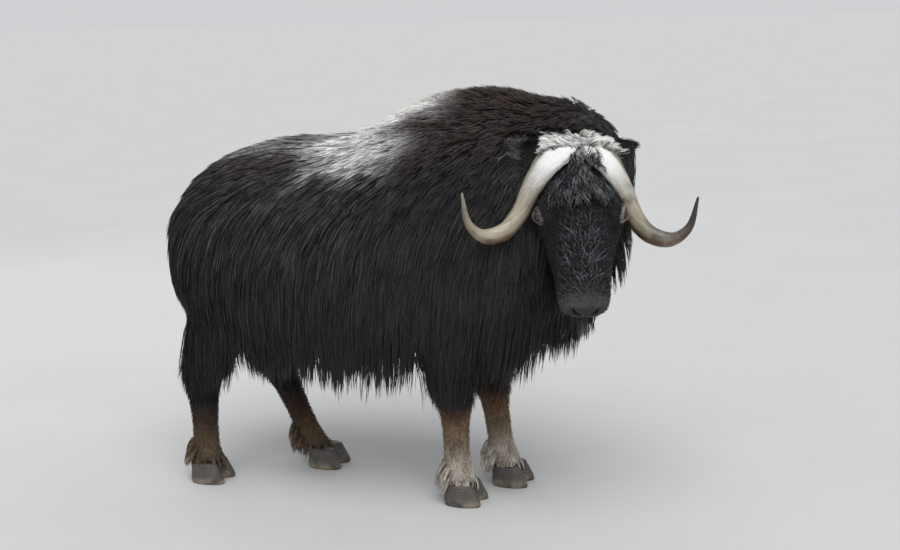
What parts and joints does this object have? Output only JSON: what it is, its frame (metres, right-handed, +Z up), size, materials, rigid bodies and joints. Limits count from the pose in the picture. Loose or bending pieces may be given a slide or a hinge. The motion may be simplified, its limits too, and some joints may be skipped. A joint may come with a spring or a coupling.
{
  "type": "muskox",
  "caption": "Life-size standing muskox with its head turned to its right, long shaggy coat, drooping hooked horns and cloven hooves, as a still model.",
  "frame": {"origin": "middle of the whole model's box at the level of the soles", "axes": "+X the way the body faces, +Y its left, +Z up"},
  "size_m": [1.7846, 0.718, 1.3051],
  "materials": {
    "guard_coat": "long dark guard hair",
    "face_coat": "short dark hair with pale crown",
    "leg_coat": "short tan hair",
    "horn": "ridged horn, pale at the base and dark at the tips",
    "hoof": "dusty hoof horn",
    "eye": "wet dark eye"
  },
  "bodies": {
    "root": {"ear_left": "face_coat", "ear_right": "face_coat", "eye_left": "eye", "eye_right": "eye", "head": "face_coat", "horn_left": "horn", "horn_right": "horn", "lower_leg_front_left": "leg_coat", "lower_leg_front_right": "leg_coat", "lower_leg_hind_left": "leg_coat", "lower_leg_hind_right": "leg_coat", "neck": "guard_coat", "tail": "guard_coat", "toe_front_left_left": "hoof", "toe_front_left_right": "hoof", "toe_front_right_left": "hoof", "toe_front_right_right": "hoof", "toe_hind_left_left": "hoof", "toe_hind_left_right": "hoof", "toe_hind_right_left": "hoof", "toe_hind_right_right": "hoof", "torso": "guard_coat", "upper_leg_front_left": "guard_coat", "upper_leg_front_right": "guard_coat", "upper_leg_hind_left": "guard_coat", "upper_leg_hind_right": "guard_coat"}
  },
  "joints": []
}
